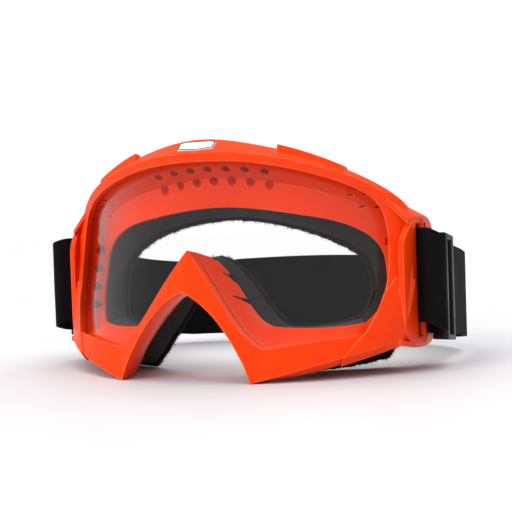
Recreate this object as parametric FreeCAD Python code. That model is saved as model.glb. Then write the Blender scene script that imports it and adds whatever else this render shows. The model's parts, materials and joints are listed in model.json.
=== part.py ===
"""Motorcycle goggles: one moulded frame, clear lens, face foam, webbing strap and sliders.

Millimetres.  X runs across the face, Y from the front to the back of the head, Z up.
The frame is drawn upright and then leaned back, the way the goggles stand on a table on
the two lower tips of the frame, the face foam and the strap.
"""
import FreeCAD, Part
import math
import os

os.makedirs("parts", exist_ok=True)

V = FreeCAD.Vector

# ---- driving dimensions ----------------------------------------------------
FRAME_WIDTH = 172.0        # over the side bands
FRAME_HEIGHT = 106.5       # lower tips to the top of the badge band, frame upright
FACE_WRAP = 100.0          # depth of the curve that wraps the front round the face
LEAN_DEG = 11.7            # how far the standing goggles lean back
LENS_THICKNESS = 1.6
LENS_SETBACK = 3.3         # front of the lens behind the front edge of the opening
LENS_GRIP = 2.4            # how far the lens edge runs into its groove
LENS_CLEARANCE = 0.15      # between the lens and its groove, each side
FLANGE_LAND = 1.6          # edge thickness of the rear opening
FOAM_GAP = 0.3             # glue line between foam and frame
FOAM_THICKNESS = 11.5      # foam core on the face flange
FLEECE_THICKNESS = 2.2     # fleece liner on the foam
FOAM_EDGE = 0.09           # share of the flange left bare at each edge of the foam
VENT_DIAMETER = 4.3
VENT_PITCH = 8.75
TOP_VENT_COUNT = 7
SIDE_VENT_COUNT = 4
SIDE_VENT_PITCH = 9.0
FILTER_THICKNESS = 2.5     # foam strips that cover the vents
BADGE_HALF_WIDTH = 8.6     # at its lower edge
BADGE_THICKNESS = 1.2
BADGE_PROUD = 0.35         # badge face above the band it is set in
BADGE_CLEARANCE = 0.15
WEB_WIDTH = 41.0           # strap webbing
WEB_THICKNESS = 1.5
POST_DIAMETER = 4.0        # moulded bar that the strap turns round
POST_WRAP_GAP = 0.3
WING_THICKNESS = 2.4
POST_Y = 65.0              # behind the front of the frame
WING_REACH = 27.0          # rear end of the side wing, behind the post
SLOT_FRONT = 7.5           # slot ahead of the post
SLOT_REAR = 7.5            # slot behind the post
SLOT_BOTTOM = 14.4
SLOT_SPARE = 8.1           # slot longer than the webbing is wide, for its slant
STRAP_SEAT = 1.1           # lower webbing edge above the end of the slot, at the slider
STRAP_DEPTH = 163.0        # front of the frame to the back of the strap
STRAP_SIDE = 8.0           # straight stretch of strap outside the side bands
# corners of the loose loop by the slot, (across, behind) from the straight stretch's start
STRAP_LOOP = [(.2, -1.9), (7.4, -8.6), (1.6, -11.9)]
STRAP_LOOP_RADII = [3.0, 3.1, 3.2]
STRAP_TOE_IN = 4.0         # degrees that the stretch turns in towards the head
STRAP_DROP = 0.12          # how much it falls towards the back, per mm
STRAP_REAR_LIFT = 4.2      # lower edge above the table at the back of the head
STRAIGHT_LENGTH = 50.0
SLIDER_LENGTH = 18.0
SLIDER_BAR = 4.6           # width of an outer bar
SLIDER_THICKNESS = 2.6
SLIDER_MARGIN = 2.8        # slider beyond each edge of the webbing
SLIDER_CLEARANCE = 0.35    # webbing to bars
SLIDER_CORE = 3.2          # width of the centre bar
SLIDER_CORE_THICKNESS = 1.8
END_THICKNESS = 1.3        # the strap end is skived before it is sewn
END_GAP = 0.15             # sewn end to the centre bar
END_START = 6.1            # sewn end from the front of the slider
STITCH_COUNT = 14
STITCH = (2.0, 0.5, 0.25)  # length, width and height of a stitch

HALF_WIDTH = FRAME_WIDTH / 2
SX = FRAME_WIDTH / 172.0   # outlines below are drawn for a 172 x 106.5 frame
SZ = FRAME_HEIGHT / 106.5
WRAP_HALF = 100.0 * SX     # half width of the ellipse that wraps the face
LEAN = math.radians(LEAN_DEG)
SLOT_TOP = SLOT_BOTTOM + WEB_WIDTH + SLOT_SPARE
STRAP_TOP = SLOT_BOTTOM + STRAP_SEAT + WEB_WIDTH       # upper webbing edge at the slider
POST_X = HALF_WIDTH        # the post stands in the wall of the wing
WING_END = POST_Y + WING_REACH
STRAP_START = (HALF_WIDTH + STRAP_SIDE, POST_Y - .5)   # the straight stretch starts here

# ---- outlines of the frame, right half, upright ------------------------------
# Each row is (across, up, behind the wrapped front).  Rows run from the top centre round
# the side to the lower outer corner, along the bottom to the lobe, and up the nose.
OPENING = [(0, 95.3, .3), (23, 94.6, .3), (43.5, 91.9, .3), (60, 88, .3), (72, 81.8, .3),
           (76.3, 71, .3), (77.3, 57, .3), (76.3, 42.5, .3), (70.5, 24.2, .3),
           (53, 19.8, .3), (35.1, 15.5, .3),
           (24.2, 23.6, 0), (14, 37.8, -.2), (5, 50.2, -.5), (0, 56.4, -.8)]
RIDGE = [(0, 99, -1), (23.1, 98.3, -1), (45.4, 95.2, -1), (63.5, 91, -1.3), (76, 84.5, -1.8),
         (80.5, 73.5, -2.2), (81.5, 58, -2.4), (81.5, 44, -2.4), (78.5, 21, -1.5),
         (56, 10.3, -1), (30.5, .8, -1),
         (24.3, 14.5, -2), (14.3, 28, -3), (5, 35.5, -3.8), (0, 38, -4.2)]
BAND = [(0, 106.5, 5.1), (23, 104, 5.2), (46, 99.2, 5), (64.5, 93.3, 3.5), (79.5, 85, -.5),
        (85, 74, -4.5), (86, 58, -6), (86, 45, -6), (82, 21.5, -1.5),
        (56.5, 8.8, 3), (30.5, 2, 4),
        (23.8, 14.5, 3), (13.8, 28, 2), (4.8, 35.6, 1.4), (0, 38, 1.2)]
BAND_REAR = [(0, 106, 8), (23, 103.5, 8.2), (46, 98.6, 8.2), (65, 92.7, 7), (80, 84.5, 3.5),
             (85.3, 73.5, -2), (86, 58, -3.6), (86, 45, -3.6), (82, 22, 1.5),
             (56.5, 10.5, 8), (31.5, 4.5, 10),
             (24.5, 16.5, 9), (14.5, 29.5, 8.5), (5.2, 37, 8), (0, 39.5, 8)]
HOOD = [(0, 100, 12.5), (23.5, 98.4, 12.5), (45, 94.8, 12), (62.5, 89.7, 11.5), (76, 82.4, 9.5),
        (80.7, 72, 8), (81.3, 58, 7.6), (81, 43, 7.8), (75.5, 25.5, 9.5),
        (54.5, 15.5, 14), (33, 9.5, 17),
        (25.5, 21, 16), (15.7, 32.5, 15.5), (6.2, 40.5, 15.5), (0, 43.5, 15.5)]
FLANGE = [(0, 93, 30), (24, 91.5, 28.5), (44, 87.5, 25), (61, 82.5, 23.5), (73.5, 76.5, 22),
          (77.5, 69, 21.5), (78.4, 56, 21.3), (78, 42.5, 21.3), (72.5, 26.5, 20.5),
          (53.5, 17.5, 20.5), (35, 13.5, 22),
          (27, 24.5, 22), (16.8, 36, 22.5), (6.6, 45, 22.5), (0, 48.5, 22.5)]
REAR_EDGE = [(0, 80.7, 28), (22.5, 78.8, 25.5), (40, 76.3, 22.5), (53, 74.3, 21.7),
             (65, 69.5, 21.2), (70.8, 61.5, 21), (72, 53, 21.2), (72.2, 43.5, 20.8),
             (66, 30.8, 19.5), (51, 27.3, 19.5), (34, 26.6, 20.5),
             (24.5, 31, 20.5), (17, 41.5, 19.5), (8.5, 52.3, 17.5), (0, 56.6, 16)]
FUNNEL = [(0, 92.3, 20), (24, 90.5, 19.5), (42.5, 87.5, 17), (58.5, 83.3, 15.5),
          (70.5, 77, 13.5), (75.6, 68, 13), (76.6, 56.5, 13), (76.3, 43, 13), (70, 27.8, 13),
          (52.5, 22, 12), (35, 19.5, 12.5),
          (25.2, 28, 12.5), (15.8, 40, 12.5), (6.5, 51.5, 11.5), (0, 57, 10)]
LENS_BACK = [(0, 97, 8.5), (23.5, 96, 8.5), (44.3, 92.8, 8.3), (61.5, 88.5, 8), (73.5, 82, 7.5),
             (77.8, 71.5, 7.2), (78.8, 57, 7), (78, 42.5, 7), (71.5, 24, 7),
             (53.5, 19.5, 7), (35.2, 16, 7),
             (24.8, 24.5, 7), (14.6, 38.3, 6.5), (5.5, 50.8, 6), (0, 56.8, 5.5)]
CORNER, LOBE = 8, 10       # rows where every outline turns a corner

# Face foam: outer and inner edges of its free rear surface, same rows.
FOAM_OUTER = [(0, 92, 41), (24, 90, 39.5), (43, 86, 37), (59, 81, 36), (71, 75, 36),
              (75.5, 67, 36), (76.5, 55, 36), (76.5, 37.5, 36), (70, 17, 36),
              (53, 11.4, 37), (36.5, 9.7, 38),
              (27.5, 19.5, 38), (18.3, 31.5, 37), (9, 42, 35), (0, 47.5, 34)]
FOAM_INNER = [(0, 77.2, 41), (21.5, 74.7, 38.5), (37.5, 70.8, 36), (48, 66.7, 35), (57, 62, 35),
              (61, 56.5, 35), (62.2, 50.5, 35), (62.2, 43.5, 35), (58.5, 35, 35),
              (48, 31, 35), (37.5, 29.5, 36),
              (29, 32.5, 36), (21, 42.5, 35), (11, 54, 33), (0, 59, 32)]


def wrap(x):
    """Depth of the wrapped front at x."""
    return FACE_WRAP * (1 - math.sqrt(1 - (x / WRAP_HALF) ** 2))


def row_point(row):
    x = row[0] * SX
    return V(x, wrap(x) + row[2], row[1] * SZ)


def moved(outline, across=0.0, behind=0.0):
    """An outline pushed outwards (across) in the front view, and back (behind)."""
    out = []
    last = len(outline) - 1
    for i, row in enumerate(outline):
        before = outline[max(i - 1, 0)]
        after = outline[min(i + 1, last)]
        dx, dz = after[0] - before[0], after[1] - before[1]
        if i in (0, last):
            dx, dz = (1.0, 0.0) if i == 0 else (-1.0, 0.0)
        size = math.hypot(dx, dz)
        x = row[0] - dz / size * across
        z = row[1] + dx / size * across
        out.append((max(x, 0.0), z, row[2] + behind))
    return out


def blended(first, second, share):
    """The outline a share of the straight way in space from the first to the second."""
    out = []
    for p, q in zip(first, second):
        x, z = (a + (b - a) * share for a, b in zip(p[:2], q[:2]))
        start, end = wrap(p[0] * SX) + p[2], wrap(q[0] * SX) + q[2]
        out.append((x, z, start + (end - start) * share - wrap(x * SX)))
    return out


def mirrored(point):
    return V(-point.x, point.y, point.z)


def loop_edges(outline):
    """Five edges: over the top, then bottom, nose, nose and bottom back to the start."""
    right = [row_point(row) for row in outline]
    right[0].x = right[-1].x = 0.0
    left = [mirrored(p) for p in right]
    top = left[CORNER:0:-1] + right[:CORNER + 1]
    runs = [top, right[CORNER:LOBE + 1], right[LOBE:],
            left[:LOBE - 1:-1], left[LOBE:CORNER - 1:-1]]
    edges = []
    for run in runs:
        curve = Part.BSplineCurve()
        curve.interpolate(Points=run, Parameters=[i / (len(run) - 1) for i in range(len(run))])
        edges.append(curve.toShape())
    return edges


def ring(outlines):
    """A closed ring whose section joins the outlines in turn."""
    loops = [loop_edges(outline) for outline in outlines]
    faces = []
    for first, second in zip(loops, loops[1:] + loops[:1]):
        for a, b in zip(first, second):
            faces.append(Part.makeRuledSurface(a, b))
    shell = Part.makeShell(faces)
    shell.sewShape()
    solid = Part.makeSolid(Part.Shell(shell.Faces))
    if solid.Volume < 0:
        solid.reverse()
    return solid


def front_prism(outline):
    """The outline seen from the front, as a prism through the whole depth."""
    flat = []
    for edge in loop_edges(outline):
        points = [V(p.x, 0, p.z) for p in edge.discretize(13)]
        curve = Part.BSplineCurve()
        curve.interpolate(points)
        flat.append(curve.toShape())
    face = Part.Face(Part.Wire(flat))
    face.translate(V(0, -30, 0))
    return face.extrude(V(0, FACE_WRAP + 60, 0))


def wrap_curve(inset, reach):
    """Plan curve of the wrapped front, moved towards the face by inset."""
    points = []
    steps = 16
    for i in range(steps + 1):
        x = reach * math.sin(math.pi / 2 * (2 * i / steps - 1))
        slope = FACE_WRAP * x / WRAP_HALF ** 2 / math.sqrt(1 - (x / WRAP_HALF) ** 2)
        size = math.hypot(1, slope)
        points.append(V(x - slope / size * inset, wrap(x) + inset / size, 0))
    curve = Part.BSplineCurve()
    curve.interpolate(points)
    return curve.toShape()


def wrap_shell(near, far, reach=None):
    """Upright curved sheet between two depths behind the wrapped front."""
    reach = reach or HALF_WIDTH * 1.02
    front, back = wrap_curve(near, reach), wrap_curve(far, reach)
    ends = [Part.makeLine(front.Vertexes[i].Point, back.Vertexes[i].Point) for i in (0, -1)]
    face = Part.Face(Part.Wire(Part.__sortEdges__([front, back] + ends)))
    face.translate(V(0, 0, -20))
    return face.extrude(V(0, 0, FRAME_HEIGHT + 40))


def prism(points, direction):
    """Polygon swept along a direction."""
    face = Part.Face(Part.makePolygon(points + [points[0]]))
    return face.extrude(direction)


def both_sides(shape):
    return [shape, shape.mirror(V(0, 0, 0), V(1, 0, 0))]


def lean(shape):
    """From upright to standing: leaned back about the X axis."""
    out = shape.copy()
    out.rotate(V(0, 0, 0), V(1, 0, 0), -LEAN_DEG)
    return out


def strip(curves):
    """Solid between four matched open curves, closed by a flat or gently twisted end."""
    edges = []
    for points in curves:
        curve = Part.BSplineCurve()
        last = len(points) - 1
        curve.interpolate(Points=points, Parameters=[i / last for i in range(last + 1)])
        edges.append(curve.toShape())
    faces = [Part.makeRuledSurface(a, b) for a, b in zip(edges, edges[1:] + edges[:1])]
    for end in (0, -1):
        corners = [points[end] for points in curves]
        faces.append(Part.makeRuledSurface(Part.makeLine(corners[0], corners[1]),
                                           Part.makeLine(corners[3], corners[2])))
    shell = Part.makeShell(faces)
    shell.sewShape()
    solid = Part.makeSolid(Part.Shell(shell.Faces))
    if solid.Volume < 0:
        solid.reverse()
    return solid


def rounded_path(points, radii):
    """Edges of a plan path: straight runs joined by tangent arcs."""
    edges = []
    start = points[0]
    for i, radius in enumerate(radii, start=1):
        corner = points[i]
        into = (points[i - 1] - corner).normalize()
        out = (points[i + 1] - corner).normalize()
        half = into.getAngle(out) / 2
        reach = radius / math.tan(half)
        first, last = corner + into * reach, corner + out * reach
        middle_way = (into + out).normalize()
        centre = corner + middle_way * (radius / math.sin(half))
        edges.append(Part.makeLine(start, first))
        edges.append(Part.Arc(first, centre - middle_way * radius, last).toShape())
        start = last
    edges.append(Part.makeLine(start, points[-1]))
    return edges


def webbing(edges, bottom, top):
    """Webbing that stands on edge, half its thickness each side of a plan path.

    bottom and top are (y, z) profiles."""
    path = Part.Wire(edges)
    half = WEB_THICKNESS / 2
    halves = [path.makeOffset2D(way * half, 0, True, True) for way in (-1, 1)]
    face = halves[0].fuse(halves[1]).removeSplitter()
    face.translate(V(0, 0, -20))
    band = face.extrude(V(0, 0, FRAME_HEIGHT + 40))
    outline = [V(-200, y, z) for y, z in bottom] + [V(-200, y, z) for y, z in reversed(top)]
    return band.common(prism(outline, V(400, 0, 0)))


# ---- frame --------------------------------------------------------------------
# decorative ribs on the top band: (across, behind the wrapped front, up, height)
RIB_STATIONS = [(35, 2.1, 98.9, 4.5), (48, 1.9, 96.2, 3.9), (61, .4, 92.0, 3.5)]
RIB_DEPTH = 5.0
OVERLAY = [(61, 8), (70.6, 25), (75.5, 41), (80.5, 49.5), (90, 49.5), (90, 12)]
OVERLAY_RAISE = 1.0
# slits of the nose seal: (x, z) at its edge, and the way each slit runs into the wall
NOSE_SLITS = [(4.6, 56.0, -70), (13.6, 46.6, -35), (20.6, 37.0, -20)]
SLIT_LENGTH = 5.8
SLIT_MOUTH = 2.7
# slots in the upper corners of the hood: (across, up, behind the wrapped front)
CORNER_SLOTS = [(63, 87.3, 8.8), (60, 85.2, 13), (66.5, 85, 9), (64, 81.6, 15.5), (70.5, 81, 11.3)]
CORNER_SLOT_SIZE = (2.8, 1.1)
VENT_UPPER = (94.9, 13.5)      # height and depth of the vent rows at the centre
VENT_LOWER = (91.3, 20.7)
VENT_SIDE_TOP = 66.4
VENT_SIDE = (76.0, 13.6)


def vent_points(height, depth):
    """One row of top vents; the row dips and thins towards the sides with the hood."""
    half = (TOP_VENT_COUNT - 1) / 2
    points = []
    for i in range(TOP_VENT_COUNT):
        x = (i - half) * VENT_PITCH * SX
        share = (x / (half * VENT_PITCH * SX)) ** 2
        points.append(V(x, wrap(x) + depth - .6 * share, (height - 1.9 * share) * SZ))
    return points


def vent_cutters():
    cutters = []
    up_back = V(0, .7, .72)
    for row in (VENT_UPPER, VENT_LOWER):
        for point in vent_points(*row):
            start = point - up_back * 4
            cutters.append(Part.makeCylinder(VENT_DIAMETER / 2, 17, start, up_back))
    outwards = V(.8, .6, 0)
    for i in range(SIDE_VENT_COUNT):
        x = VENT_SIDE[0] * SX
        z = (VENT_SIDE_TOP - i * SIDE_VENT_PITCH) * SZ
        start = V(x, wrap(x) + VENT_SIDE[1], z) - outwards * 4
        cutters += both_sides(Part.makeCylinder(VENT_DIAMETER / 2, 16, start, outwards))
    through_hood = V(-.1, .65, .75)
    width, height = CORNER_SLOT_SIZE
    for x, z, depth in CORNER_SLOTS:
        slot = Part.makeBox(width, 12, height, V(-width / 2, -3, -height / 2))
        slot.Placement = FreeCAD.Placement(V(x * SX, wrap(x * SX) + depth, z * SZ),
                                           FreeCAD.Rotation(V(0, 1, 0), through_hood))
        cutters += both_sides(slot)
    return cutters


def nose_slit_cutters():
    cutters = []
    for x, z, angle in NOSE_SLITS:
        turn = math.radians(angle)
        along = V(math.cos(turn + math.pi), 0, math.sin(turn + math.pi))
        across = V(-along.z, 0, along.x)
        mouth = V(x * SX, 8, z * SZ) - along * 1.5
        tip = mouth + along * (SLIT_LENGTH + 1.5)
        points = [mouth + across * (SLIT_MOUTH / 2), tip, mouth - across * (SLIT_MOUTH / 2)]
        cutters += both_sides(prism(points, V(0, 24, 0)))
    return cutters


def badge_prism(grow, low, high):
    """The badge outline as a prism square to the sloping top band."""
    along = V(0, 6.1, 7.5).normalize()
    outward = V(0, -7.5, 6.1).normalize()
    base = V(0, -1, 99 * SZ)
    half = BADGE_HALF_WIDTH + grow
    outline = [(-half, 2.6 - grow), (0, 1.6 - grow), (half, 2.6 - grow),
               (half * 1.02, 7.0 + grow), (half * .72, 7.9 + grow), (-half * .72, 7.9 + grow),
               (-half * 1.02, 7.0 + grow)]
    points = [base + V(x, 0, 0) + along * s + outward * low for x, s in outline]
    return prism(points, outward * (high - low))


def ribs():
    curves = [[], [], [], []]
    for x, depth, height, tall in RIB_STATIONS:
        y, z = wrap(x * SX) + depth, height * SZ
        section = [(0, -.4), (.9, tall), (RIB_DEPTH, tall), (RIB_DEPTH, -.4)]
        for curve, (dy, dz) in zip(curves, section):
            curve.append(V(x * SX, y + dy, z + dz))
    return both_sides(strip(curves))


def make_moulding():
    """The frame without its side wings, upright."""
    body = ring([OPENING, RIDGE, BAND, BAND_REAR, HOOD, FLANGE, REAR_EDGE,
                 moved(REAR_EDGE, behind=-FLANGE_LAND), FUNNEL, LENS_BACK])
    return body


def make_overlay():
    raised = ring([moved(OPENING, .05, -OVERLAY_RAISE), moved(RIDGE, .3, -OVERLAY_RAISE),
                   moved(BAND, .8, -OVERLAY_RAISE * .6), moved(BAND_REAR, .8, 0), HOOD, LENS_BACK])
    outline = [V(x * SX, -30, z * SZ) for x, z in OVERLAY]
    cutter = prism(outline, V(0, 100, 0))
    return [raised.common(side) for side in both_sides(cutter)]


def wing_plate():
    """Upright side wall of the wing, before its slot, right side, standing pose."""
    plan = [(HALF_WIDTH - 1.8, POST_Y - 18), (HALF_WIDTH + .9, POST_Y - 5),
            (HALF_WIDTH + .6, POST_Y + 10), (HALF_WIDTH - 1.5, WING_END + 1)]
    outer = [V(x, y, 0) for x, y in plan]
    inner = [V(x - WING_THICKNESS, y, 0) for x, y in plan]
    edges = []
    for points in (outer, inner):
        curve = Part.BSplineCurve()
        curve.interpolate(points)
        edges.append(curve.toShape())
    edges += [Part.makeLine(outer[i], inner[i]) for i in (0, -1)]
    face = Part.Face(Part.Wire(Part.__sortEdges__(edges)))
    wall = face.extrude(V(0, 0, FRAME_HEIGHT))
    post, end, top, low = POST_Y, WING_END, SLOT_TOP, SLOT_BOTTOM
    outline = [(post - 15, top - 3.5), (post - 5, top + 2.8), (post + 9, top + 2.5),
               (end - 7, top - 1), (end, top - 9.5), (end - .5, (top + low) / 2 - 1),
               (end, low + 9.6), (end - 3, low + 1.1), (end - 13, low - 2.6),
               (post - 1, low - 3.6), (post - 15, low - .4), (post - 18, (top + low) / 2 - 3)]
    curve = Part.BSplineCurve()
    inside = HALF_WIDTH - 26
    curve.interpolate([V(inside, y, z) for y, z in outline], True)
    side_view = Part.Face(Part.Wire(curve.toShape()))
    return wall.common(side_view.extrude(V(60, 0, 0)))


def wing_webs():
    """Sloping top web and flat bottom web that tie the wing to the hood."""
    side, post, top, low = HALF_WIDTH, POST_Y, SLOT_TOP, SLOT_BOTTOM
    top_in = [V(76 * SX, post - 15, 75 * SZ), V(77 * SX, post - 3, 74 * SZ),
              V(77.5 * SX, post + 11, 70 * SZ), V(side - 6, WING_END - 3, top - 1)]
    top_out = [V(side - 1, post - 13, top + 2), V(side + .8, post - 3, top + 3.5),
               V(side + .5, post + 11, top + 2.5), V(side - 1.4, WING_END - 1.5, top - 3)]
    low_in = [V(75 * SX, post - 21, low + .6), V(75.5 * SX, post - 9, low - .9),
              V(76 * SX, post + 3, low - 1.4), V(side - 8, post + 17, low - .4)]
    low_out = [V(side - 3, post - 21, low + .1), V(side, post - 9, low - 1.9),
               V(side + .6, post + 5, low - 2.4), V(side - .5, post + 19, low - .9)]
    drop = V(0, 0, -WING_THICKNESS)
    webs = []
    for inner, outer in ((top_in, top_out), (low_in, low_out)):
        lowered = [[p + drop for p in line] for line in (outer, inner)]
        webs.append(strip([inner, outer] + lowered))
    return webs


def strap_slot():
    """Room for the webbing through the side of the frame, standing pose."""
    return Part.makeBox(12, SLOT_FRONT + SLOT_REAR, SLOT_TOP - SLOT_BOTTOM,
                        V(POST_X - 3.6, POST_Y - SLOT_FRONT, SLOT_BOTTOM))


def make_wing():
    wing = wing_plate().cut(strap_slot())
    post = Part.makeCylinder(POST_DIAMETER / 2, SLOT_TOP - SLOT_BOTTOM + 5,
                             V(POST_X, POST_Y, SLOT_BOTTOM - 3))
    return wing.multiFuse(wing_webs() + [post])


def make_frame():
    body = make_moulding()
    body = body.multiFuse(make_overlay() + ribs())
    body = body.cut(lens_pocket())
    body = body.cut(badge_prism(BADGE_CLEARANCE, BADGE_PROUD - BADGE_THICKNESS - .05, 6))
    body = body.cut(Part.makeCompound(vent_cutters() + nose_slit_cutters()))
    body = lean(body).cut(Part.makeCompound(both_sides(strap_slot())))
    return body.multiFuse(both_sides(make_wing()))


# ---- lens ---------------------------------------------------------------------
def lens_pocket():
    outline = moved(OPENING, LENS_GRIP + LENS_CLEARANCE * 2)
    near = LENS_SETBACK - LENS_CLEARANCE
    far = LENS_SETBACK + LENS_THICKNESS + LENS_CLEARANCE
    return front_prism(outline).common(wrap_shell(near, far))


def make_lens():
    outline = moved(OPENING, LENS_GRIP)
    sheet = wrap_shell(LENS_SETBACK, LENS_SETBACK + LENS_THICKNESS)
    return lean(front_prism(outline).common(sheet))


def make_badge():
    return lean(badge_prism(0, BADGE_PROUD - BADGE_THICKNESS, BADGE_PROUD))


# ---- face foam ------------------------------------------------------------------
def foam_share(start, end):
    """Foam between two shares of the way from the flange to the face."""
    inner_base = moved(blended(REAR_EDGE, FLANGE, FOAM_EDGE), behind=FOAM_GAP)
    outer_base = moved(blended(FLANGE, REAR_EDGE, FOAM_EDGE), behind=FOAM_GAP)
    rings = [blended(outer_base, FOAM_OUTER, start), blended(outer_base, FOAM_OUTER, end),
             blended(inner_base, FOAM_INNER, end), blended(inner_base, FOAM_INNER, start)]
    return lean(ring(rings))


def make_foam():
    share = FOAM_THICKNESS / (FOAM_THICKNESS + FLEECE_THICKNESS)
    return foam_share(0, share)


def make_fleece():
    share = FOAM_THICKNESS / (FOAM_THICKNESS + FLEECE_THICKNESS)
    return foam_share(share + .02, 1)


# ---- foam strips over the vents ---------------------------------------------------
def hood_points(share, first, last, count=7):
    """Points on the hood between its front fold and the flange.

    first and last count rows from the top centre, so -1.5 and 1.5 straddle the nose."""
    front, back = (loop_edges(outline)[0] for outline in (HOOD, FLANGE))
    points = []
    for i in range(count):
        at = (CORNER + first + (last - first) * i / (count - 1)) / (2 * CORNER)
        points.append((front.valueAt(at), back.valueAt(at)))
    return [a + (b - a) * share for a, b in points]


def filter_strip(first, last, near, far, thickness, gap=FOAM_GAP * 1.4):
    """A foam strip glued on the outside of the hood."""
    front = hood_points(near, first, last)
    back = hood_points(far, first, last)
    curves = [[], [], [], []]
    for i, (p, q) in enumerate(zip(front, back)):
        after = front[min(i + 1, len(front) - 1)]
        before = front[max(i - 1, 0)]
        normal = (q - p).cross(after - before).normalize()
        if normal.dot(V(p.x, 0, 40)) < 0:
            normal = normal * -1
        for curve, point, lift in zip(curves, (p, q, q, p), (0, 0, 1, 1)):
            curve.append(point + normal * (gap + lift * thickness))
    return lean(strip(curves))


def make_top_filter():
    return filter_strip(-1.55, 1.55, .06, .74, FILTER_THICKNESS)


def make_corner_filter():
    return filter_strip(2.65, 3.9, .05, .8, FILTER_THICKNESS * .8, FOAM_GAP * 2.2)


def make_side_filter():
    return filter_strip(5.0, 7.35, .12, .82, FILTER_THICKNESS * .45, FOAM_GAP)


# ---- strap -------------------------------------------------------------------------
TOE_IN = math.radians(STRAP_TOE_IN)
STRAP_ALONG = V(-math.sin(TOE_IN), math.cos(TOE_IN), 0)
STRAP_OUT = V(math.cos(TOE_IN), math.sin(TOE_IN), 0)


def strap_point(along, out):
    """Plan point at a length along the straight stretch and out from its mid plane."""
    return V(STRAP_START[0], STRAP_START[1], 0) + STRAP_ALONG * along + STRAP_OUT * out


def top_edge(offset=0.0):
    """Side profile of the upper webbing edge: steep at the slot, then straight, then flat."""
    start, end = STRAP_START[1], STRAP_START[1] + STRAIGHT_LENGTH
    low = WEB_WIDTH + STRAP_REAR_LIFT
    fall = STRAP_DROP * (end - start)
    return [(start - 14, STRAP_TOP + 6.3 + offset), (start - 3.5, STRAP_TOP + 3.6 + offset),
            (start - .5, STRAP_TOP + .1 + offset), (end, STRAP_TOP - fall + offset),
            (STRAP_DEPTH - 14, low + offset), (STRAP_DEPTH - 6, low + offset),
            (STRAP_DEPTH + 3, low + 4.2 + offset)]


def strap_web(edges):
    return webbing(edges, top_edge(-WEB_WIDTH), top_edge())


def make_strap_rear():
    """Webbing from slider to slider round the back of the head."""
    back = STRAP_DEPTH - WEB_THICKNESS / 2
    right = [strap_point(0, 0), strap_point(STRAIGHT_LENGTH + 22, 0),
             V(HALF_WIDTH - 26, back - 4, 0), V(0, back, 0)]
    left = [mirrored(p) for p in right[-2::-1]]
    radii = [26, 60, 400, 60, 26]
    return strap_web(rounded_path(right + left, radii))


def make_strap_turn():
    """Webbing from the rear strap in through the slot, round the post and back out.

    It is stiff, so it stands off the wing in a loose loop before it enters the slot."""
    half = WEB_THICKNESS / 2
    wrap_radius = POST_DIAMETER / 2 + POST_WRAP_GAP + half
    front = POST_Y - wrap_radius
    rear = POST_Y + wrap_radius
    start = strap_point(-.05, 0)
    loop = [start + V(across, behind, 0) for across, behind in STRAP_LOOP]
    slope = STRAP_ALONG.x / STRAP_ALONG.y
    end = strap_point(END_START - .3, -(SLIDER_CLEARANCE + END_THICKNESS))
    turn = V(end.x + (rear - end.y) * slope, rear, 0)
    inside = POST_X - wrap_radius
    path = [start] + loop + [V(inside, front, 0), V(inside, rear, 0), turn, end]
    radii = STRAP_LOOP_RADII + [wrap_radius * .98, wrap_radius * .98, half + .6]
    return strap_web(rounded_path(path, radii))


def bar(near, far, low, high, extra):
    """Upright slider bar between two lengths along the strap and two distances out."""
    corners = [strap_point(along, out)
               for along, out in ((near, low), (far, low), (far, high), (near, high))]
    return sloped(corners, -WEB_WIDTH - extra, extra)


def sloped(corners, low, high):
    """Upright prism on plan corners, cut parallel to the webbing edges."""
    for p in corners:
        p.z = -40
    body = prism(corners, V(0, 0, 200))
    y0 = STRAP_START[1]
    ends = (y0 - 10, y0 + STRAIGHT_LENGTH)
    edge = [(y, STRAP_TOP - STRAP_DROP * (y - y0)) for y in ends]
    inside = HALF_WIDTH - 36
    outline = [V(inside, y, z + low) for y, z in edge]
    outline += [V(inside, y, z + high) for y, z in reversed(edge)]
    return body.common(prism(outline, V(100, 0, 0)))


def make_slider():
    """Three-bar slide: outer bars over the webbing, centre bar behind it."""
    near = WEB_THICKNESS / 2 + SLIDER_CLEARANCE
    core_out = -(near + END_THICKNESS + END_GAP)
    core_in = core_out - SLIDER_CORE_THICKNESS
    middle = SLIDER_LENGTH / 2
    high = near + SLIDER_THICKNESS
    bars = [bar(0, SLIDER_BAR, near, high, SLIDER_MARGIN),
            bar(SLIDER_LENGTH - SLIDER_BAR, SLIDER_LENGTH, near, high, SLIDER_MARGIN),
            bar(middle - SLIDER_CORE / 2, middle + SLIDER_CORE / 2, core_in, core_out,
                SLIDER_MARGIN)]
    rail = [(0, near), (0, high), (SLIDER_LENGTH, high), (SLIDER_LENGTH, near),
            (middle + SLIDER_CORE, core_in), (middle - SLIDER_CORE, core_in)]
    for low, top in ((SLIDER_CLEARANCE, SLIDER_MARGIN),
                     (-WEB_WIDTH - SLIDER_MARGIN, -WEB_WIDTH - SLIDER_CLEARANCE)):
        bars.append(sloped([strap_point(s, n) for s, n in rail], low, top))
    return bars[0].multiFuse(bars[1:])


def end_levels():
    """Distances out of the sewn end: faces of its outer leg and of its inner leg."""
    outer_face = -(WEB_THICKNESS / 2 + SLIDER_CLEARANCE)
    outer_back = outer_face - END_THICKNESS
    inner_face = outer_back - END_GAP * 2 - SLIDER_CORE_THICKNESS
    return outer_face, outer_back, inner_face, inner_face - END_THICKNESS


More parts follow.
